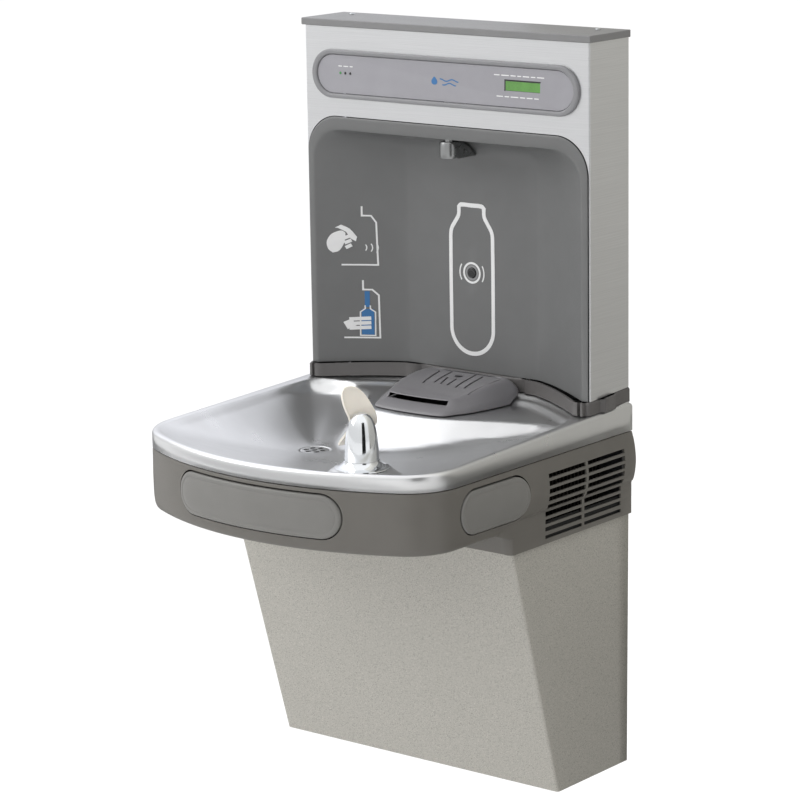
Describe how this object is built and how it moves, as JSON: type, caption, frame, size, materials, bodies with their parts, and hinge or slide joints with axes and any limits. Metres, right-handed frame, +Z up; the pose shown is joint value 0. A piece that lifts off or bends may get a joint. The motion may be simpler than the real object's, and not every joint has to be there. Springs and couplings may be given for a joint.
{
  "type": "wall-mounted drinking fountain",
  "caption": "Wall-hung drinking fountain with a stainless basin, push bars and bubbler, and a bottle-filling alcove with its control strip on the tower above.",
  "frame": {"origin": "middle of the wall hanger's back face, where the fountain hangs on the wall, 0.4 m above the cabinet's lower edge", "axes": "+X to the right seen from the front, +Y into the wall, +Z up"},
  "size_m": [0.4888, 0.4883, 0.9692],
  "materials": {
    "alcove_liner": "satin",
    "back_panel": "galvanised",
    "base_trim": "satin",
    "basin": "satin",
    "bubbler_body": "polished",
    "bubbler_flange": "polished",
    "bubbler_nut": "plain",
    "bubbler_solenoid": "satin",
    "bubbler_water_tube": "satin",
    "cold_tank": "foam",
    "compressor": "gloss",
    "compressor_feet": "galvanised",
    "compressor_shelf": "galvanised",
    "condenser": "copper-finned",
    "control_bezel": "satin",
    "control_face": "satin",
    "control_module": "satin",
    "cover_screw_left": "plain",
    "cover_screw_right": "plain",
    "drain_strainer": "brushed",
    "drain_tailpiece": "polished",
    "drip_tray": "satin",
    "fan_blade": "satin",
    "fan_motor": "satin",
    "fan_shroud": "galvanised",
    "filler_nozzle": "polished",
    "filler_solenoid": "satin",
    "filler_water_tube": "satin",
    "filter_cartridge": "gloss",
    "filter_head": "satin",
    "front_push_bar": "satin",
    "front_switch": "satin",
    "front_switch_plunger": "satin",
    "lcd_display": "gloss",
    "left_push_bar": "satin",
    "left_switch": "satin",
    "left_switch_plunger": "satin",
    "lower_cabinet_panel": "granite speckle",
    "mouth_guard": "satin",
    "power_inlet": "satin",
    "regulator": "plain",
    "regulator_feed_tube": "satin",
    "regulator_screw": "plain",
    "right_push_bar": "satin",
    "right_switch": "satin",
    "right_switch_plunger": "satin",
    "sensor_lens": "gloss",
    "sensor_module": "satin",
    "shroud": "satin",
    "status_lamp_1": "gloss",
    "status_lamp_2": "gloss",
    "status_lamp_3": "gloss",
    "suction_line": "copper",
    "thermostat": "satin",
    "thermostat_spindle": "satin",
    "top_cover": "satin",
    "tower_wrapper": "brushed",
    "wall_hanger": "galvanised",
    "waste_tube": "satin"
  },
  "bodies": {
    "cooler": {"alcove_liner": "alcove_liner", "back_panel": "back_panel", "base_trim": "base_trim", "basin": "basin", "bubbler_body": "bubbler_body", "bubbler_flange": "bubbler_flange", "bubbler_nut": "bubbler_nut", "bubbler_solenoid": "bubbler_solenoid", "bubbler_water_tube": "bubbler_water_tube", "cold_tank": "cold_tank", "compressor": "compressor", "compressor_feet": "compressor_feet", "compressor_shelf": "compressor_shelf", "condenser": "condenser", "control_bezel": "control_bezel", "control_face": "control_face", "control_module": "control_module", "cover_screw_left": "cover_screw_left", "cover_screw_right": "cover_screw_right", "drain_strainer": "drain_strainer", "drain_tailpiece": "drain_tailpiece", "drip_tray": "drip_tray", "fan_motor": "fan_motor", "fan_shroud": "fan_shroud", "filler_nozzle": "filler_nozzle", "filler_solenoid": "filler_solenoid", "filler_water_tube": "filler_water_tube", "filter_head": "filter_head", "front_switch": "front_switch", "lcd_display": "lcd_display", "left_switch": "left_switch", "lower_cabinet_panel": "lower_cabinet_panel", "mouth_guard": "mouth_guard", "power_inlet": "power_inlet", "regulator": "regulator", "regulator_feed_tube": "regulator_feed_tube", "right_switch": "right_switch", "sensor_lens": "sensor_lens", "sensor_module": "sensor_module", "shroud": "shroud", "status_lamp_1": "status_lamp_1", "status_lamp_2": "status_lamp_2", "status_lamp_3": "status_lamp_3", "suction_line": "suction_line", "thermostat": "thermostat", "top_cover": "top_cover", "tower_wrapper": "tower_wrapper", "wall_hanger": "wall_hanger", "waste_tube": "waste_tube"},
    "front_bar": {"front_push_bar": "front_push_bar"},
    "left_bar": {"left_push_bar": "left_push_bar"},
    "right_bar": {"right_push_bar": "right_push_bar"},
    "front_plunger": {"front_switch_plunger": "front_switch_plunger"},
    "left_plunger": {"left_switch_plunger": "left_switch_plunger"},
    "right_plunger": {"right_switch_plunger": "right_switch_plunger"},
    "fan": {"fan_blade": "fan_blade"},
    "thermostat_setting": {"thermostat_spindle": "thermostat_spindle"},
    "flow_screw": {"regulator_screw": "regulator_screw"},
    "cartridge": {"filter_cartridge": "filter_cartridge"}
  },
  "joints": [
    {"name": "front_bar_press", "type": "slide", "parent": "cooler", "child": "front_bar", "axis": [0, 1, 0], "range_m": [0, 0.004], "stiffness_N_per_m": 900},
    {"name": "left_bar_press", "type": "slide", "parent": "cooler", "child": "left_bar", "axis": [1, 0, 0], "range_m": [0, 0.004], "stiffness_N_per_m": 900},
    {"name": "right_bar_press", "type": "slide", "parent": "cooler", "child": "right_bar", "axis": [-1, 0, 0], "range_m": [0, 0.004], "stiffness_N_per_m": 900},
    {"name": "front_plunger_press", "type": "slide", "parent": "cooler", "child": "front_plunger", "axis": [0, 1, 0], "range_m": [0, 0.004], "stiffness_N_per_m": 60},
    {"name": "left_plunger_press", "type": "slide", "parent": "cooler", "child": "left_plunger", "axis": [1, 0, 0], "range_m": [0, 0.004], "stiffness_N_per_m": 60},
    {"name": "right_plunger_press", "type": "slide", "parent": "cooler", "child": "right_plunger", "axis": [-1, 0, 0], "range_m": [0, 0.004], "stiffness_N_per_m": 60},
    {"name": "fan_spin", "type": "hinge", "parent": "cooler", "child": "fan", "pos_m": [0.154, -0.11, -0.08], "axis": [1, 0, 0], "continuous": true},
    {"name": "thermostat_turn", "type": "hinge", "parent": "cooler", "child": "thermostat_setting", "pos_m": [-0.055, -0.195, -0.119], "axis": [0, 1, 0], "range_deg": [-135, 135]},
    {"name": "flow_screw_turn", "type": "hinge", "parent": "cooler", "child": "flow_screw", "pos_m": [0.062, -0.386, 0.02], "axis": [0, 0, 1], "range_deg": [-180, 180]},
    {"name": "cartridge_turn", "type": "hinge", "parent": "cooler", "child": "cartridge", "pos_m": [-0.19, -0.075, -0.25], "axis": [0, 0, 1], "range_deg": [-90, 0]}
  ],
  "couplings": [
    {"joint": "front_plunger_press", "follows": "front_bar_press", "ratio": 1},
    {"joint": "left_plunger_press", "follows": "left_bar_press", "ratio": 1},
    {"joint": "right_plunger_press", "follows": "right_bar_press", "ratio": 1}
  ]
}
